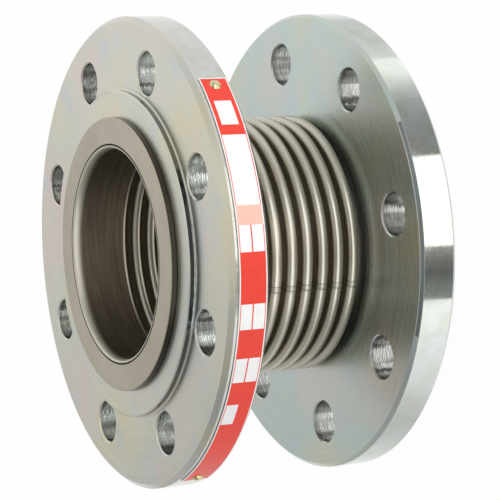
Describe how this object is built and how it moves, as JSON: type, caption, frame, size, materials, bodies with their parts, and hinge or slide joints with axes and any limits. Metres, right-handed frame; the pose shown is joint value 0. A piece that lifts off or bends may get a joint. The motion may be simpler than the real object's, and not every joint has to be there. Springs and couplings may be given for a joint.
{
  "type": "axial expansion joint",
  "caption": "Axial pipe expansion joint: stainless bellows welded to lap rings, with loose drilled steel flanges and a riveted nameplate.",
  "frame": {"origin": "on the pipe axis, at the sealing face of the lower lap ring, which the part stands on", "axes": "+Z along the pipe axis towards the end with the nameplate; -Y towards the middle of the nameplate's side; +X completes the right-handed frame"},
  "size_m": [0.2, 0.2005, 0.1134],
  "materials": {
    "zinc_plated_steel": "turned and bright zinc plated, faintly iridescent",
    "stainless_ring": "finely turned stainless steel, warm and satin",
    "stainless_bellows": "cold-formed stainless sheet, satin along the folds",
    "weld_metal": "as welded",
    "nameplate_print": "thin aluminium strip printed red and white, gloss",
    "brass_rivet": "bright domed head"
  },
  "bodies": {
    "lower_end": {"lower_lap_ring": "stainless_ring", "lower_sleeve": "stainless_ring", "lower_ring_weld": "weld_metal", "lower_neck_weld": "weld_metal", "bellows": "stainless_bellows"},
    "lower_flange": {"lower_flange": "zinc_plated_steel"},
    "upper_end": {"upper_lap_ring": "stainless_ring", "upper_sleeve": "stainless_ring", "upper_ring_weld": "weld_metal", "upper_neck_weld": "weld_metal"},
    "upper_flange": {"upper_flange": "zinc_plated_steel", "nameplate": "nameplate_print", "left_rivet": "brass_rivet", "right_rivet": "brass_rivet"}
  },
  "joints": [
    {"name": "axial_travel", "type": "slide", "parent": "lower_end", "child": "upper_end", "axis": [0, 0, 1], "range_m": [-0.02, 0.01], "stiffness_N_per_m": 90000, "deforming": ["bellows"]},
    {"name": "lower_flange_turn", "type": "hinge", "parent": "lower_end", "child": "lower_flange", "pos_m": [0, 0, 0.0142], "axis": [0, 0, 1], "continuous": true},
    {"name": "upper_flange_turn", "type": "hinge", "parent": "upper_end", "child": "upper_flange", "pos_m": [0, 0, 0.0992], "axis": [0, 0, 1], "continuous": true}
  ]
}
